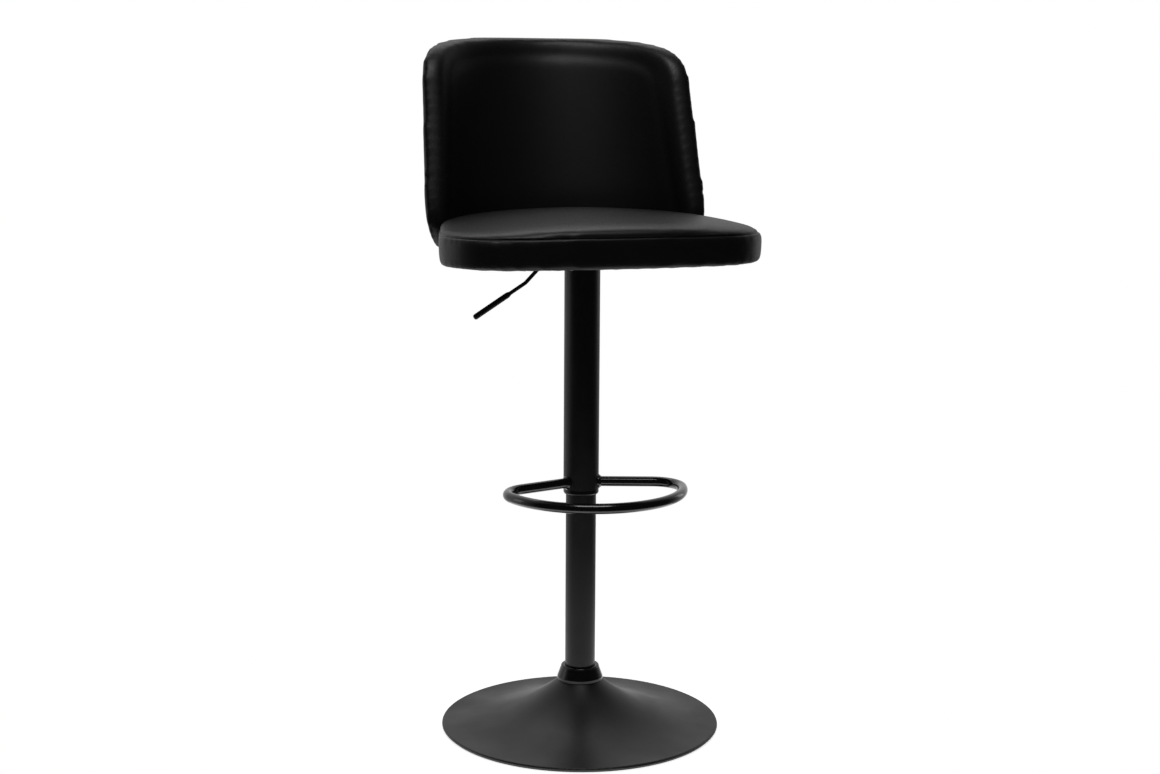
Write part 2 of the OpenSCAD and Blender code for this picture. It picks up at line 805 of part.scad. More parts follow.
module back_straps() {
    color([0.2, 0.2, 0.2])
    difference() {
        union() {
            intersection() {
                back_layer(face_in - strap_t, face_in);
                strap_slab();
            }
            difference() {
                at_straps() translate([-strap_w / 2, face_in - strap_foot_l, seat_low - strap_t])
                    cube([strap_w, strap_foot_l + 40, strap_t]);
                back_layer(face_in - 1, face_in + 200);
            }
        }
        for (k = screw_z) at_screws(k) {
            translate([0, 0, -1]) cylinder(r = screw_r, h = strap_t + 2);
            translate([0, 0, -1]) cylinder(r1 = screw_r + 3, r2 = screw_r, h = 3);
        }
        at_straps() translate([0, face_in - strap_foot_l + 14, seat_low - strap_t]) {
            translate([0, 0, -1]) cylinder(r = screw_r, h = strap_t + 2);
            translate([0, 0, -1]) cylinder(r1 = screw_r + 3, r2 = screw_r, h = 3);
        }
    }
}

module strap_screws() {
    color([0.5, 0.5, 0.5]) {
        for (k = screw_z) at_screws(k) union() {
            cylinder(r1 = screw_r + 2, r2 = screw_r, h = 2);
            cylinder(r = screw_r, h = 16);
        }
        at_straps() translate([0, face_in - strap_foot_l + 14, seat_low - strap_t]) union() {
            cylinder(r1 = screw_r + 2, r2 = screw_r, h = 2);
            cylinder(r = screw_r, h = strap_t + dust_t + 7);
        }
    }
}

floor_pad();
base_plate();
base_ballast();
base_hub();
base_cover();
base_collar();
lower_column();
column_end_plate();
thrust_bearing();
guide_bush();
piston_rod();
piston_head();
rod_clip();
rod_buffer();
gas_cylinder();
cylinder_seal();
upper_sleeve();
sleeve_end_ring();
footrest_loop();
footrest_welds();
taper_socket();
seat_plate();
lever_box();
lever_pivot();
release_lever();
lever_grip();
release_pin();
seat_bolts();
bolt_washers();
tee_nuts();
dust_cover();
seat_board();
seat_cushion();
back_straps();
strap_screws();
back_plywood();
back_inner_pad();
back_outer_cover();
back_edge_roll();
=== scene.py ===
# %% [markdown]
# # A black bar stool, upholstered and painted around its CAD frame
#
# The stool has a round steel base, a gas lift column with a looped footrest, and a padded seat
# and back in black leather cloth. The metal and plastic parts come from the CAD frame and stay
# exactly as they are: they only need convincing finishes. The soft parts come as plain solids,
# which hold the right space but look like blocks. So this lesson stuffs and sews each of them.
# We start by loading the frame, which puts every CAD part at its place, in metres.

import json
import math

import bmesh
import bpy
import numpy as np
from mathutils import Matrix, Vector
from mathutils.bvhtree import BVHTree
from mathutils.kdtree import KDTree

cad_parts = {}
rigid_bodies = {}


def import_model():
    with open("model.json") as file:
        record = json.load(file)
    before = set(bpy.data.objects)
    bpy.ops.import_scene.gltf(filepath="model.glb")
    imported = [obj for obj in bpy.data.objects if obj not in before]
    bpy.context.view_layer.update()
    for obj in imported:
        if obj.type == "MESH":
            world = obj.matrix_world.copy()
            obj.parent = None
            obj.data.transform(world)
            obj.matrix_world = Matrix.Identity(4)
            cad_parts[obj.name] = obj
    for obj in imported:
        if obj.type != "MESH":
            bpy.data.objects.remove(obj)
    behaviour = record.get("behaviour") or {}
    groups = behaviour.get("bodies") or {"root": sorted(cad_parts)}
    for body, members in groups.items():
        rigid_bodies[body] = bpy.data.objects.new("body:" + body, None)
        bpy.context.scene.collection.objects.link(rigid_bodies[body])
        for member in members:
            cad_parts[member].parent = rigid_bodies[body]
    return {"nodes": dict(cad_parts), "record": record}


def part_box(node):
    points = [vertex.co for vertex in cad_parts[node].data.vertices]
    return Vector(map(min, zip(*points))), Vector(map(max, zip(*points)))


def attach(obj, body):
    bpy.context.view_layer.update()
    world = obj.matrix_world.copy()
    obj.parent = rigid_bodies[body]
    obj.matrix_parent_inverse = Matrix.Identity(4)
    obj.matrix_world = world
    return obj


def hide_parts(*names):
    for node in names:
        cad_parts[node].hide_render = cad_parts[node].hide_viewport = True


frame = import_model()
scene = bpy.context.scene
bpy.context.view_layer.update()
slot_of = {part["node"]: part["material_slot"] for part in frame["record"]["subparts"]}
MM = 0.001

# %% [markdown]
# Two small habits keep Blender's operators safe. Everything is deselected before a piece is
# worked on, because an operator acts on all that is selected. And a piece that starts from a CAD
# part starts from a copy whose loose triangles are merged, so that its skin is all one surface.


# %% Helpers for picking, copying and measuring
def only(piece):
    bpy.ops.object.select_all(action="DESELECT")
    piece.select_set(True)
    bpy.context.view_layer.objects.active = piece


def points_of(piece):
    flat = np.zeros(len(piece.data.vertices) * 3)
    piece.data.vertices.foreach_get("co", flat)
    return flat.reshape(-1, 3)


def normals_of(piece):
    flat = np.zeros(len(piece.data.vertices) * 3, np.float32)
    piece.data.vertex_normals.foreach_get("vector", flat)
    return flat.reshape(-1, 3).astype(float)


def put_points(piece, points):
    piece.data.vertices.foreach_set("co", np.asarray(points, float).reshape(-1))
    piece.data.update()


def merged_copy(name, *nodes):
    parts = []
    for node in nodes:
        part = bpy.data.objects.new(node + "_copy", frame["nodes"][node].data.copy())
        scene.collection.objects.link(part)
        parts.append(part)
    only(parts[0])
    for part in parts[1:]:
        part.select_set(True)
    if len(parts) > 1:
        bpy.ops.object.join()
    piece = parts[0]
    piece.name = piece.data.name = name
    piece.data.materials.clear()
    bpy.ops.object.mode_set(mode="EDIT")
    bpy.ops.mesh.select_all(action="SELECT")
    bpy.ops.mesh.remove_doubles(threshold=0.01 * MM)
    bpy.ops.object.mode_set(mode="OBJECT")
    return piece


def apply_all(piece):
    only(piece)
    for modifier in list(piece.modifiers):
        bpy.ops.object.modifier_apply(modifier=modifier.name)


# %% [markdown]
# ## Stuffing
#
# A real cushion is foam pulled tight under a sewn cover, so its faces swell and its edges turn
# round. A bevelled block never looks like that. Here the block's skin is remeshed twice and
# relaxed, and then blown up for twenty frames as cloth under pressure. Only the outward part of
# the swelling is kept. It is capped, because foam only gives a few millimetres, and it is never
# less than a share of the cap, because the foam fills the cover everywhere. It is also averaged
# over neighbouring points, because a free cloth wrinkles at its edges and a stuffed cover doesn't.


# %% Helpers for stuffing
def even_skin(piece, voxel, relax):
    """Remeshes twice: the first pass fuses the parts, and the second makes the fused skin even."""
    for rounds in (4, relax):
        skin = piece.modifiers.new("even skin", "REMESH")
        skin.mode = "VOXEL"
        skin.voxel_size = voxel
        apply_all(piece)
        keep_outer_shell(piece)
        smooth = piece.modifiers.new("relax", "SMOOTH")
        smooth.factor = 0.5
        smooth.iterations = rounds
        apply_all(piece)


def keep_outer_shell(piece):
    only(piece)
    points = points_of(piece)
    top = int(points[:, 2].argmax())
    bpy.ops.object.mode_set(mode="EDIT")
    bpy.ops.mesh.select_all(action="DESELECT")
    bpy.ops.object.mode_set(mode="OBJECT")
    piece.data.vertices[top].select = True
    bpy.ops.object.mode_set(mode="EDIT")
    bpy.ops.mesh.select_linked()
    bpy.ops.mesh.select_all(action="INVERT")
    bpy.ops.mesh.delete(type="VERT")
    bpy.ops.object.mode_set(mode="OBJECT")


def calm(piece, values, rounds):
    """Averages a value over each point's neighbours, again and again, which removes wrinkles."""
    ends = np.zeros(len(piece.data.edges) * 2, np.int32)
    piece.data.edges.foreach_get("vertices", ends)
    a, b = ends[0::2], ends[1::2]
    count = len(values)
    degree = np.bincount(a, minlength=count) + np.bincount(b, minlength=count)
    for _ in range(rounds):
        near = np.bincount(a, values[b], count) + np.bincount(b, values[a], count)
        values = 0.5 * values + 0.5 * near / degree
    return values


def even_normals(piece, rounds):
    """The outward directions, averaged so that a sharp edge doesn't throw up spikes."""
    normals = normals_of(piece)
    calmed = np.stack([calm(piece, normals[:, k], rounds) for k in range(3)], axis=1)
    return calmed / np.maximum(np.linalg.norm(calmed, axis=1), 1e-9)[:, None]


LEAST = 0.4


def stuff(piece, cap, pressure=4.0, frames=20):
    """Blows the piece up as cloth. A point moves by its cap at most, and LEAST of it at least."""
    before = points_of(piece)
    outward = even_normals(piece, 8)
    only(piece)
    cloth = piece.modifiers.new("stuffing", "CLOTH")
    cloth.settings.use_pressure = True
    cloth.settings.uniform_pressure_force = pressure
    cloth.settings.effector_weights.gravity = 0
    for number in range(1, frames + 1):
        scene.frame_set(number)
    bpy.ops.object.modifier_apply(modifier=cloth.name)
    scene.frame_set(1)
    after = points_of(piece)
    swell = np.clip(((after - before) * outward).sum(axis=1), LEAST * cap, cap)
    swell = calm(piece, swell, 40)
    put_points(piece, before + outward * swell[:, None])
    print(piece.name, "swells by", round(float(swell.max()) * 1000, 1), "mm at most")


def refine(piece, rounds):
    """Doubles the skin's detail, and smooths away what is left of the voxel steps."""
    finer = piece.modifiers.new("finer skin", "SUBSURF")
    finer.levels = finer.render_levels = 1
    smooth = piece.modifiers.new("smooth skin", "SMOOTH")
    smooth.factor = 0.5
    smooth.iterations = rounds
    apply_all(piece)


def smoothstep(low, high, value):
    t = np.clip((value - low) / (high - low), 0, 1)
    return t * t * (3 - 2 * t)


# %% [markdown]
# ## The seat cushion
#
# The seat is a slab of foam on a board: a crowned top panel is sewn to an upright side band, and
# the band is pulled round the lower edge and stapled under the board. The seam runs all round
# the shoulder. The seam is added after the stuffing, because a remesh rubs out anything finer
# than a voxel. The mesh is cut on level planes beside the seam, so that the groove gets clean
# edges of its own, and is then pressed in along them.

# %% Stuff the seat cushion
seat_low, seat_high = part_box("seat_cushion")
SEAM_Z = seat_low.z + 46 * MM
seat = merged_copy("seat_leather", "seat_cushion")
bpy.ops.object.mode_set(mode="EDIT")
bpy.ops.mesh.select_all(action="SELECT")
bpy.ops.transform.resize(
    value=(1.018, 0.990, 1.0), center_override=(0, (seat_low.y + seat_high.y) / 2, seat_low.z)
)
bpy.ops.object.mode_set(mode="OBJECT")
even_skin(seat, 5 * MM, 9)
seat_points = points_of(seat)
under = smoothstep(seat_low.z + 12 * MM, seat_low.z + 2 * MM, seat_points[:, 2])
stuff(seat, 6.0 * MM * (1 - under) + 0.8 * MM * under)
refine(seat, 6)
print("seat skin:", len(seat.data.polygons), "faces")


# %% Cut and press the seam round the shoulder
def ring_at(piece, height):
    """The piece's outermost points on a level plane, in order round the piece."""
    points = points_of(piece)
    middle = (points.min(0) + points.max(0)) / 2
    ring = points[np.abs(points[:, 2] - height) < 1e-6]
    arm = np.hypot(ring[:, 0] - middle[0], ring[:, 1] - middle[1])
    ring = ring[arm > 0.6 * arm.max()]
    turn = np.arctan2(ring[:, 1] - middle[1], ring[:, 0] - middle[0])
    return ring[np.argsort(turn)]


STITCH_RISE = 2.6
only(seat)
bpy.ops.object.mode_set(mode="EDIT")
for cut in (-4.5, -2.6, -1.3, -0.6, 0.0, 0.6, 1.3, STITCH_RISE, 4.5):
    bpy.ops.mesh.select_all(action="SELECT")
    bpy.ops.mesh.bisect(plane_co=(0, 0, SEAM_Z + cut * MM), plane_no=(0, 0, 1))
bpy.ops.object.mode_set(mode="OBJECT")
stitch_line = ring_at(seat, SEAM_Z + STITCH_RISE * MM)
points = points_of(seat)
normals = even_normals(seat, 6)
away = np.abs(points[:, 2] - SEAM_Z)
outward = smoothstep(-0.2, 0.3, normals[:, 2])
fold = 1.5 * np.exp(-((away / (1.1 * MM)) ** 2))
pull = 0.7 * np.exp(-((away / (6 * MM)) ** 2))
groove = fold + pull
put_points(seat, points - normals * (groove * outward * MM)[:, None])
only(seat)
bpy.ops.object.shade_smooth()
print("seam cut; the stitches will follow", len(stitch_line), "points")

# %% [markdown]
# ## Stitches
#
# Under strong light a sewn seam shows as a dotted line beside the fold, where the thread goes in
# and out. One stitch is a grain of thread a few millimetres long. It is modelled once, from a
# sphere with few faces, and then copied along the line at an even pitch and joined.


# %% Helpers for stitches
def along_loop(loop, pitch):
    """Points at an even pitch round a closed loop, with the loop's direction at each."""
    closed = np.vstack([loop, loop[:1]])
    steps = np.linalg.norm(np.diff(closed, axis=0), axis=1)
    run = np.concatenate([[0], np.cumsum(steps)])
    count = int(run[-1] / pitch)
    spots = (np.arange(count) + 0.5) / count * run[-1]
    place = np.stack([np.interp(spots, run, closed[:, k]) for k in range(3)], axis=1)
    ahead = np.stack([np.interp(spots + 1 * MM, run, closed[:, k]) for k in range(3)], axis=1)
    heading = ahead - place
    heading[-1] = heading[-2]
    return place, heading / np.linalg.norm(heading, axis=1)[:, None]


def sew(name, skin, loop, pitch, length, thread, sunk=0.0):
    """Stitches on the skin along a loop of points, as one piece."""
    tree = BVHTree.FromObject(skin, bpy.context.evaluated_depsgraph_get())
    bpy.ops.object.select_all(action="DESELECT")
    bpy.ops.mesh.primitive_uv_sphere_add(segments=6, ring_count=5, radius=thread / 2)
    stitch = bpy.context.object
    bpy.ops.object.mode_set(mode="EDIT")
    bpy.ops.mesh.select_all(action="SELECT")
    bpy.ops.transform.resize(value=(1, 1, length / thread))
    bpy.ops.object.mode_set(mode="OBJECT")
    place, heading = along_loop(loop, pitch)
    copies = []
    for spot, way in zip(place, heading):
        found, normal, _, _ = tree.find_nearest(Vector(spot))
        if found is None:
            continue
        z = Vector(way).normalized()
        x = z.cross(normal).normalized()
        turn = Matrix((x, z.cross(x), z)).transposed().to_4x4()
        one = bpy.data.objects.new(name, stitch.data.copy())
        scene.collection.objects.link(one)
        one.data.transform(Matrix.Translation(found - normal * sunk) @ turn)
        copies.append(one)
    bpy.data.objects.remove(stitch)
    only(copies[0])
    for one in copies[1:]:
        one.select_set(True)
    bpy.ops.object.join()
    sewn = copies[0]
    sewn.name = sewn.data.name = name
    bpy.ops.object.shade_smooth()
    print(name, "has", len(copies), "stitches")
    return sewn


# %% Sew the seat's top seam
seat_stitches = sew("seat_seam_stitches", seat, stitch_line, 5.2 * MM, 3.4 * MM, 0.7 * MM)

# %% [markdown]
# ## The back
#
# The back is bent plywood with a pad on the sitter's side and a fat roll of foam round its edge,
# all under one leather skin, and a separate panel covers the rear. The skin is pulled in where
# the roll begins, so a soft crease runs round the panel, but there is no seam on the sitter's
# side. So the pad, the roll and the plywood are fused into one body first, then stuffed, and the
# crease is pressed in along the pad's own outline, which is measured from the CAD part.

# %% The back's curve, as the frame has it
LEAN = math.radians(11)
PIVOT = np.array([0.0, 0.198, 0.762])
BACK_RADIUS = 0.245
AXIS_Y = PIVOT[1] - BACK_RADIUS
FACE_IN = 0.232


def upright(points):
    """Points turned back to where they were before the back was leaned."""
    d = np.asarray(points, float) - PIVOT
    y = d[:, 1] * math.cos(LEAN) - d[:, 2] * math.sin(LEAN)
    z = d[:, 1] * math.sin(LEAN) + d[:, 2] * math.cos(LEAN)
    return np.stack([d[:, 0], y, z], axis=1) + PIVOT


def unrolled(points):
    """Distance along the curve, height, and distance from the curve's axis."""
    p = upright(points)
    radius = np.hypot(p[:, 0], p[:, 1] - AXIS_Y)
    return np.arctan2(p[:, 0], p[:, 1] - AXIS_Y) * BACK_RADIUS, p[:, 2], radius


def outline_on_face(node, radius, pitch=2 * MM):
    """The outline of a CAD part on one of the back's round faces, in order."""
    copy = merged_copy(node + "_outline", node)
    shape = bmesh.new()
    shape.from_mesh(copy.data)
    found = []
    for edge in shape.edges:
        if len(edge.link_faces) != 2 or edge.calc_face_angle(0) < math.radians(35):
            continue
        ends = np.array([edge.verts[0].co, edge.verts[1].co])
        if np.abs(unrolled(ends)[2] - radius).max() > 0.6 * MM:
            continue
        steps = max(1, int(edge.calc_length() / pitch))
        for k in range(steps + 1):
            found.append(ends[0] + (ends[1] - ends[0]) * k / steps)
    shape.free()
    bpy.data.objects.remove(copy)
    found = np.array(found)
    arc, height, _ = unrolled(found)
    turn = np.arctan2(height - (height.min() + height.max()) / 2, arc)
    return found[np.argsort(turn)]


crease = outline_on_face("back_inner_pad", FACE_IN)
print("crease points:", len(crease))

# %% Stuff the back's skin
back = merged_copy("back_leather", "back_inner_pad", "back_edge_roll", "back_plywood")
even_skin(back, 4.5 * MM, 16)
STRAP_TOP = seat_low.z + 50 * MM


def free_to_swell(piece, most):
    """The cap at each point: little where the cushion and the straps press on the back."""
    points = points_of(piece)
    return most * (0.12 + 0.88 * smoothstep(STRAP_TOP - 10 * MM, STRAP_TOP + 40 * MM, points[:, 2]))


stuff(back, free_to_swell(back, 6.0 * MM))
refine(back, 14)
print("back skin:", len(back.data.polygons), "faces")


# %% Press the crease round the inner panel
def press_along(piece, line, width, depth):
    """Presses a soft valley into the skin along a line of points."""
    tree = KDTree(len(line))
    for index, point in enumerate(line):
        tree.insert(point, index)
    tree.balance()
    points = points_of(piece)
    normals = normals_of(piece)
    away = np.array([tree.find(point)[2] for point in points])
    points -= normals * (depth * np.exp(-((away / width) ** 2)))[:, None]
    put_points(piece, points)
    print(piece.name, "is pressed in at", int((away < width).sum()), "points")


press_along(back, crease, 11 * MM, 1.7 * MM)
only(back)
bpy.ops.object.shade_smooth()

# %% [markdown]
# The rear panel is a thin pad of its own, dropped into the recess inside the roll. It is stuffed
# lightly, so that it stands a little crowned, and its rounded edge and the roll make the seam.

# %% Stuff the rear panel
rear = merged_copy("back_rear_panel", "back_outer_cover")
even_skin(rear, 3.5 * MM, 4)
stuff(rear, free_to_swell(rear, 3.0 * MM))
only(rear)
bpy.ops.object.shade_smooth()
print("rear panel:", len(rear.data.polygons), "faces")

# %% [markdown]
# ## The dust cloth
#
# Under the seat a thin non-woven cloth hides the board and the cover's raw hem. It is stapled
# every few centimetres, so it lies flat at the staples and puckers between them. The cloth is
# cut from the CAD part's lower face, divided on a grid, waved a little and given its thickness.

# %% Cut and pucker the dust cloth
cloth_low, cloth_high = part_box("dust_cover")
cloth = merged_copy("dust_cloth_sheet", "dust_cover")
shape = bmesh.new()
shape.from_mesh(cloth.data)
sides = [face for face in shape.faces if face.normal.z > -0.9]
bmesh.ops.delete(shape, geom=sides, context="FACES")
FLAT = 0.01
bmesh.ops.dissolve_limit(shape, angle_limit=FLAT, verts=shape.verts[:], edges=shape.edges[:])
shape.to_mesh(cloth.data)
shape.free()
only(cloth)
bpy.ops.object.mode_set(mode="EDIT")
GRID = 11 * MM
for axis in (0, 1):
    spot = cloth_low[axis] + GRID
    while spot < cloth_high[axis]:
        plane = [0, 0, 0]
        plane[axis] = 1
        bpy.ops.mesh.select_all(action="SELECT")
        bpy.ops.mesh.bisect(plane_co=[spot * p for p in plane], plane_no=plane)
        spot += GRID
bpy.ops.object.mode_set(mode="OBJECT")
points = points_of(cloth)
STAPLES = 44
STAPLE_INSET = 9 * MM
hem_turn = np.arctan2(points[:, 1], points[:, 0])
from_edge = np.hypot(points[:, 0], points[:, 1])
wave = np.sin(hem_turn * STAPLES) * smoothstep(0.13, 0.19, from_edge)
points[:, 2] += 0.35 * MM * wave - 0.1 * MM
put_points(cloth, points)
thick = cloth.modifiers.new("cloth thickness", "SOLIDIFY")
thick.thickness = 0.5 * MM
thick.offset = -1
apply_all(cloth)
bpy.ops.object.shade_smooth()

# %% [markdown]
# ## Staples
#
# Each staple is a wire bridge pressed into the board. One is made from a small bar with bevelled
# edges, and the rest are copies, set round the cloth's hem, a little askew as by hand.


# %% Drive the staples round the hem
def staple_bar():
    bpy.ops.object.select_all(action="DESELECT")
    bpy.ops.mesh.primitive_cube_add(size=1)
    bar = bpy.context.object
    bpy.ops.object.mode_set(mode="EDIT")
    bpy.ops.mesh.select_all(action="SELECT")
    bpy.ops.transform.resize(value=(10 * MM, 1.0 * MM, 0.5 * MM))
    bpy.ops.mesh.bevel(offset=0.2 * MM, segments=1, affect="EDGES")
    bpy.ops.object.mode_set(mode="OBJECT")
    return bar


bar = staple_bar()
staples = []
board = points_of(cloth)
wobble = np.random.default_rng(7).normal(0, 0.12, STAPLES)
for number in range(STAPLES):
    angle = (number + 0.25) / STAPLES * 2 * math.pi
    way = np.array([math.cos(angle), math.sin(angle)])
    beside = np.abs(board[:, 0] * -way[1] + board[:, 1] * way[0]) < STAPLE_INSET
    ahead = (board[:, :2] @ way) > 0
    reach = (board[beside & ahead][:, :2] @ way).max() - STAPLE_INSET
    one = bpy.data.objects.new("staple", bar.data.copy())
    scene.collection.objects.link(one)
    place = Matrix.Translation((*(way * reach), cloth_low.z - 0.45 * MM))
    one.data.transform(place @ Matrix.Rotation(angle + math.pi / 2 + wobble[number], 4, "Z"))
    staples.append(one)
bpy.data.objects.remove(bar)
only(staples[0])
for one in staples[1:]:
    one.select_set(True)
bpy.ops.object.join()
hem_staples = staples[0]
hem_staples.name = hem_staples.data.name = "dust_cloth_staples"
print("staples:", STAPLES)

# %% [markdown]
# ## Finishes
#
# Every surface here is black, so the finishes differ by gloss and by fine relief alone. Each
# material is a plain shader with constant values, plus three things that a real surface has:
# relief from a small pattern, gloss that varies a little from place to place, and a faint change
# of colour. The patterns read the object's own coordinates, in metres, so that a scale of 1000
# means detail of about a millimetre.


# %% Helpers for materials
class Finish:
    """A material whose patterns are added one at a time."""

    def __init__(self, name, color, roughness, **sockets):
        self.material = bpy.data.materials.new(name)
        self.material.use_nodes = True
        self.material.diffuse_color = (*color, 1)
        self.tree = self.material.node_tree
        self.shader = self.tree.nodes["Principled BSDF"]
        self.shader.inputs["Base Color"].default_value = (*color, 1)
        self.shader.inputs["Roughness"].default_value = roughness
        for socket, value in sockets.items():
            self.shader.inputs[socket.replace("_", " ")].default_value = value
        self.where = self.tree.nodes.new("ShaderNodeTexCoord").outputs["Object"]
        self.relief_out = None

    def node(self, kind, **values):
        made = self.tree.nodes.new(kind)
        for key, value in values.items():
            setattr(made, key, value)
        return made

    def link(self, a, b):
        self.tree.links.new(a, b)

    def noise(self, scale, detail=3.0, stretch=None):
        made = self.node("ShaderNodeTexNoise")
        made.inputs["Scale"].default_value = scale
        made.inputs["Detail"].default_value = detail
        self.link(self.placed(stretch), made.inputs["Vector"])
        return made.outputs["Fac"]

    def cells(self, scale, feature="F1"):
        made = self.node("ShaderNodeTexVoronoi", feature=feature)
        made.inputs["Scale"].default_value = scale
        self.link(self.where, made.inputs["Vector"])
        return made.outputs["Distance"]

    def placed(self, stretch):
        if stretch is None:
            return self.where
        made = self.node("ShaderNodeMapping")
        made.inputs["Scale"].default_value = stretch
        self.link(self.where, made.inputs["Vector"])
        return made.outputs["Vector"]

    def between(self, value, low, high, start=0.3, end=0.7):
        made = self.node("ShaderNodeMapRange")
        made.inputs["From Min"].default_value = start
        made.inputs["From Max"].default_value = end
        made.inputs["To Min"].default_value = low
        made.inputs["To Max"].default_value = high
        self.link(value, made.inputs["Value"])
        return made.outputs["Result"]

    def gloss(self, value, low, high, start=0.3, end=0.7):
        self.link(self.between(value, low, high, start, end), self.shader.inputs["Roughness"])

    def tint(self, value, first, second, start=0.3, end=0.7):
        made = self.node("ShaderNodeMix", data_type="RGBA")
        for socket in made.inputs:
            if socket.type == "RGBA":
                socket.default_value = (*(first if socket.name == "A" else second), 1)
        self.link(self.between(value, 0, 1, start, end), made.inputs["Factor"])
        self.link(made.outputs[2], self.shader.inputs["Base Color"])

    def relief(self, value, depth, strength=1.0, dent=False):
        made = self.node("ShaderNodeBump", invert=dent)
        made.inputs["Strength"].default_value = strength
        made.inputs["Distance"].default_value = depth
        self.link(value, made.inputs["Height"])
        if self.relief_out is not None:
            self.link(self.relief_out, made.inputs["Normal"])
        self.relief_out = made.outputs["Normal"]
        self.link(self.relief_out, self.shader.inputs["Normal"])


# %% [markdown]
# ** Leather cloth.** The cover is a soft coated cloth, embossed with a fine pebble grain. The
# pebbles are Voronoi cells just under a millimetre across, with tiny pores over them and broad,
# shallow ripples below, where the foam gives. Its satin gloss comes from the shader's roughness,
# which varies a little from place to place.

# %% Leather cloth and thread
leather = Finish("black leather cloth", (0.0035, 0.0036, 0.0038), 0.42, Specular_IOR_Level=0.5)
pebbles = leather.cells(1250)
leather.gloss(leather.noise(420, 4), 0.36, 0.50)
leather.tint(leather.noise(9, 2), (0.003, 0.0031, 0.0033), (0.0045, 0.0046, 0.0049))
leather.relief(leather.noise(26, 2), 0.5 * MM, 0.35)
leather.relief(pebbles, 0.09 * MM, 0.55, dent=True)
leather.relief(leather.noise(5200, 2), 0.02 * MM, 0.5)
thread = Finish("black thread", (0.008, 0.008, 0.0085), 0.55, Sheen_Weight=0.15)
thread.gloss(thread.noise(3000, 2), 0.45, 0.65)
thread.relief(thread.noise(2600, 2, (1, 1, 3)), 0.08 * MM, 0.8)

# %% [markdown]
# **Powder coat.** The base, the column and the sheet parts are powder coated: a satin black skin
# that flows a little before it sets, so it keeps a fine orange-peel ripple. Handling leaves
# faint rubbed patches with a little more gloss.

# %% Powder coat and lacquer
powder = Finish("satin black powder coat", (0.0045, 0.0046, 0.005), 0.40, Specular_IOR_Level=0.5)
powder.gloss(powder.noise(14, 5), 0.35, 0.46)
powder.tint(powder.noise(900, 3), (0.0035, 0.0036, 0.004), (0.006, 0.0061, 0.0065))
powder.relief(powder.noise(380, 2), 0.10 * MM, 0.30)
powder.relief(powder.noise(2200, 2), 0.03 * MM, 0.40)
lacquer = Finish(
    "gloss black lacquer", (0.004, 0.004, 0.0045), 0.16, Coat_Weight=0.6, Coat_Roughness=0.06
)
lacquer.gloss(lacquer.noise(30, 4), 0.12, 0.24)
lacquer.relief(lacquer.noise(260, 2), 0.05 * MM, 0.25)

# %% [markdown]
# **Plastics and rubber.** The collar and the sleeve's end ring are glossy mouldings, the grip is
# moulded with a fine spark texture, the guide bush is smooth and waxy, and the rubber is matt
# with a dusty bloom.

# %% Plastics and rubber
gloss_plastic = Finish("gloss black plastic", (0.005, 0.005, 0.0052), 0.18)
gloss_plastic.gloss(gloss_plastic.noise(45, 4), 0.14, 0.26)
gloss_plastic.relief(gloss_plastic.noise(160, 2), 0.06 * MM, 0.2)
grip = Finish("textured black grip", (0.006, 0.006, 0.0063), 0.45)
grip.gloss(grip.noise(300, 3), 0.38, 0.55)
grip.relief(grip.cells(1500), 0.05 * MM, 0.6)
slide = Finish("smooth slide plastic", (0.02, 0.02, 0.021), 0.35)
slide.gloss(slide.noise(60, 3), 0.3, 0.42)
slide.relief(slide.noise(500, 2), 0.02 * MM, 0.4)
rubber = Finish("matt black rubber", (0.016, 0.016, 0.016), 0.75)
rubber.gloss(rubber.noise(80, 4), 0.62, 0.85)
rubber.tint(rubber.noise(35, 3), (0.014, 0.014, 0.014), (0.024, 0.023, 0.022))
rubber.relief(rubber.noise(1400, 3), 0.06 * MM, 0.5)

# %% [markdown]
# **Bare metal.** The piston rod is ground and polished, with hair-fine marks round it. The
# fasteners are zinc plated, with the cloudy spangle that plating has. The ballast is a rough
# casting.

# %% Metals
polished = Finish("polished steel", (0.62, 0.62, 0.63), 0.12, Metallic=1.0)
polished.gloss(polished.noise(900, 2, (0.2, 0.2, 6)), 0.08, 0.2)
polished.relief(polished.noise(1500, 2, (0.1, 0.1, 4)), 0.01 * MM, 0.3)
zinc = Finish("zinc plated steel", (0.48, 0.48, 0.46), 0.34, Metallic=1.0)
zinc.gloss(zinc.cells(420), 0.26, 0.44, 0.0, 0.8)
zinc.tint(zinc.noise(120, 3), (0.42, 0.42, 0.40), (0.54, 0.54, 0.51))
zinc.relief(zinc.noise(900, 3), 0.03 * MM, 0.4)
iron = Finish("cast iron", (0.06, 0.058, 0.055), 0.65, Metallic=0.7)
iron.gloss(iron.noise(200, 4), 0.5, 0.8)
iron.relief(iron.noise(420, 5), 0.4 * MM, 0.6)

# %% [markdown]
# **Wood and cloth.** The plywood is birch, whose grain is long noise along one way with pale and
# dark bands. The dust cloth is a non-woven felt, pressed with a small square dimple.

# %% Plywood and dust cloth
ply = Finish("birch plywood", (0.50, 0.36, 0.22), 0.6)
ply.tint(ply.noise(18, 6, (1, 14, 14)), (0.40, 0.27, 0.15), (0.60, 0.45, 0.29))
ply.gloss(ply.noise(90, 4, (1, 10, 10)), 0.5, 0.72)
ply.relief(ply.noise(60, 6, (1, 18, 18)), 0.15 * MM, 0.5)
felt = Finish("black dust cloth", (0.014, 0.014, 0.015), 0.9, Sheen_Weight=0.25)
felt.gloss(felt.noise(500, 3), 0.8, 0.95)
felt.tint(felt.noise(700, 5), (0.010, 0.010, 0.011), (0.022, 0.022, 0.023))
felt.relief(felt.cells(480), 0.15 * MM, 0.6, dent=True)
felt.relief(felt.noise(3500, 3), 0.05 * MM, 0.6)
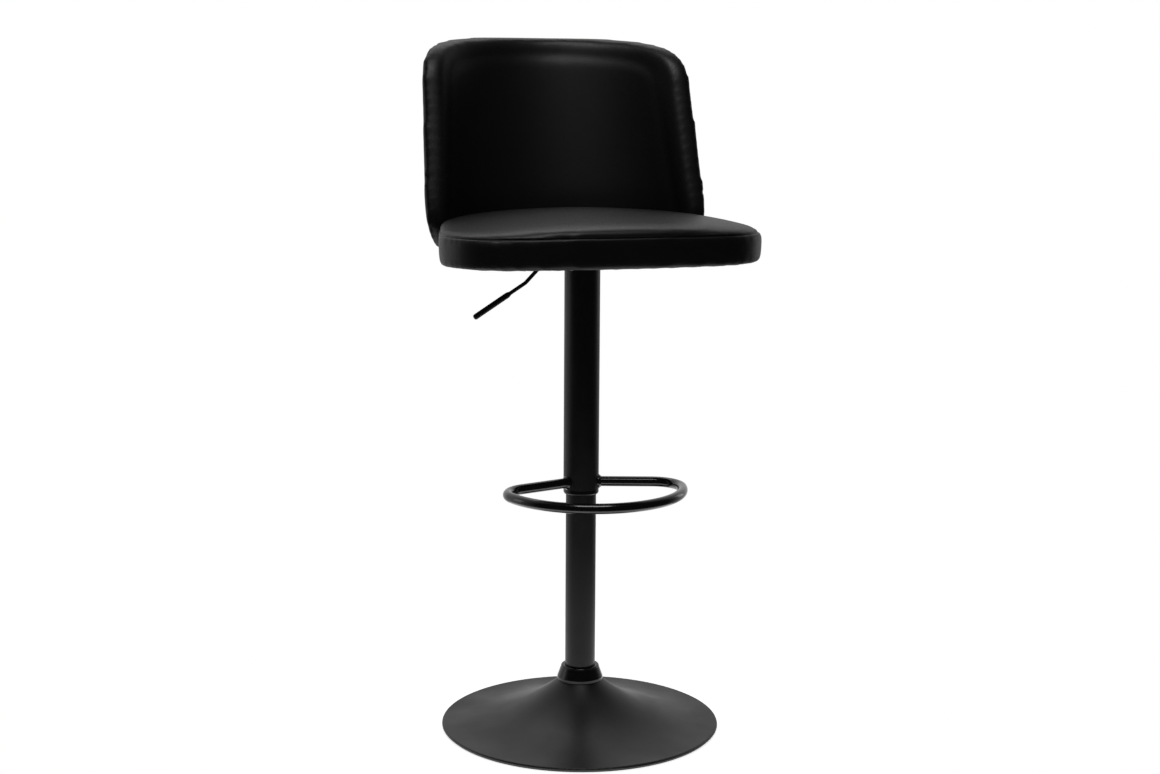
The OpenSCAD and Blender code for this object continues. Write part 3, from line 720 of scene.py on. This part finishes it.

# %% [markdown]
# The frame's record names the finish of every part, so the CAD parts get their materials by that
# name. The new pieces get theirs one by one.

# %% Put the finishes on
finish_of_slot = {
    "powder_coat": powder,
    "gloss_lacquer": lacquer,
    "gloss_plastic": gloss_plastic,
    "grip_plastic": grip,
    "slide_plastic": slide,
    "polished_steel": polished,
    "plated_steel": zinc,
    "ballast_iron": iron,
    "black_rubber": rubber,
    "plywood": ply,
    "black_leather": leather,
    "dust_cloth": felt,
}
for node, part in frame["nodes"].items():
    for place in part.material_slots:
        place.material = finish_of_slot[slot_of[node]].material


def dress(piece, finish, body="seat"):
    piece.data.materials.clear()
    piece.data.materials.append(finish.material)
    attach(piece, body)


dress(seat, leather)
dress(back, leather)
dress(rear, leather)
dress(seat_stitches, thread)
dress(cloth, felt)
dress(hem_staples, zinc)
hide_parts("seat_cushion")
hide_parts("back_inner_pad", "back_edge_roll")
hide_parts("back_outer_cover")
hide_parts("dust_cover")
print("finished parts:", len(frame["nodes"]) + 6)

# %% [markdown]
# ## The studio
#
# A black object shows what it reflects. The stool stands in a white room that is bright behind
# and beside it and dim in front, so that its flanks are drawn in light and its middle stays
# dark. One large soft box hangs above the front for the back's upper part, one hangs behind, and
# two weak ones stand at the sides. The camera is at a standing person's chest, turned to the
# seat's corner.

# %% Camera
camera = bpy.data.objects.new("camera", bpy.data.cameras.new("camera"))
scene.collection.objects.link(camera)
CAMERA_PLACE = (-0.854, -2.755, 1.029)
TURN, DOWN, ROLL = math.radians(-17.17), math.radians(90 - 9.39), math.radians(0.35)
camera.data.sensor_width = 36
camera.data.lens = 57.65
camera.data.clip_end = 50
aim = Matrix.Rotation(TURN, 4, "Z")
aim = aim @ Matrix.Rotation(DOWN, 4, "X")
aim = aim @ Matrix.Rotation(ROLL, 4, "Z")
camera.matrix_world = Matrix.Translation(CAMERA_PLACE) @ aim
scene.camera = camera

# %% Floor
bpy.ops.object.select_all(action="DESELECT")
bpy.ops.mesh.primitive_circle_add(vertices=128, radius=0.60, fill_type="NGON")
floor = bpy.context.object
floor.name = "studio_floor"
floor_paint = Finish("pale floor", (0.93, 0.93, 0.93), 0.9, Specular_IOR_Level=0.1)
floor_paint.shader.inputs["Emission Color"].default_value = (1, 1, 1, 1)
floor_paint.shader.inputs["Emission Strength"].default_value = 0.80
floor.data.materials.append(floor_paint.material)


# %% Soft boxes
def soft_box(name, place, target, size, power):
    lamp = bpy.data.lights.new(name, "AREA")
    lamp.shape = "RECTANGLE"
    lamp.size, lamp.size_y = size
    lamp.energy = power
    box = bpy.data.objects.new(name, lamp)
    scene.collection.objects.link(box)
    way = Vector(target) - Vector(place)
    box.matrix_world = Matrix.Translation(place) @ way.to_track_quat("-Z", "Y").to_matrix().to_4x4()
    return box


soft_box("front_box", (-0.3, -1.2, 3.1), (0.0, 0.1, 0.95), (1.5, 1.0), 20)
soft_box("left_box", (-2.3, 0.9, 0.8), (0.0, 0.0, 0.3), (0.6, 1.2), 1.5)
soft_box("right_box", (2.3, 0.9, 0.8), (0.0, 0.0, 0.3), (0.6, 1.2), 1.5)
soft_box("top_box", (0.2, 1.6, 3.0), (0.0, 0.0, 0.6), (2.0, 1.2), 9)

# %% White room, bright behind and dim in front
world = bpy.data.worlds.new("white room")
scene.world = world
world.use_nodes = True
room = world.node_tree
room.nodes.clear()
way = room.nodes.new("ShaderNodeTexCoord")
parts = room.nodes.new("ShaderNodeSeparateXYZ")
room.links.new(way.outputs["Generated"], parts.inputs["Vector"])
behind = room.nodes.new("ShaderNodeMapRange")
behind.inputs["From Min"].default_value = -0.05
behind.inputs["From Max"].default_value = 0.85
behind.inputs["To Min"].default_value = 0.03
behind.inputs["To Max"].default_value = 0.75
room.links.new(parts.outputs["Y"], behind.inputs["Value"])
glow = room.nodes.new("ShaderNodeBackground")
room.links.new(behind.outputs["Result"], glow.inputs["Strength"])
paper = room.nodes.new("ShaderNodeBackground")
paper.inputs["Strength"].default_value = 1.0
paper.inputs["Color"].default_value = (1, 1, 1, 1)
seen = room.nodes.new("ShaderNodeLightPath")
both = room.nodes.new("ShaderNodeMixShader")
room.links.new(seen.outputs["Is Camera Ray"], both.inputs["Fac"])
room.links.new(glow.outputs["Background"], both.inputs[1])
room.links.new(paper.outputs["Background"], both.inputs[2])
out = room.nodes.new("ShaderNodeOutputWorld")
room.links.new(both.outputs["Shader"], out.inputs["Surface"])
scene.view_settings.view_transform = "Standard"
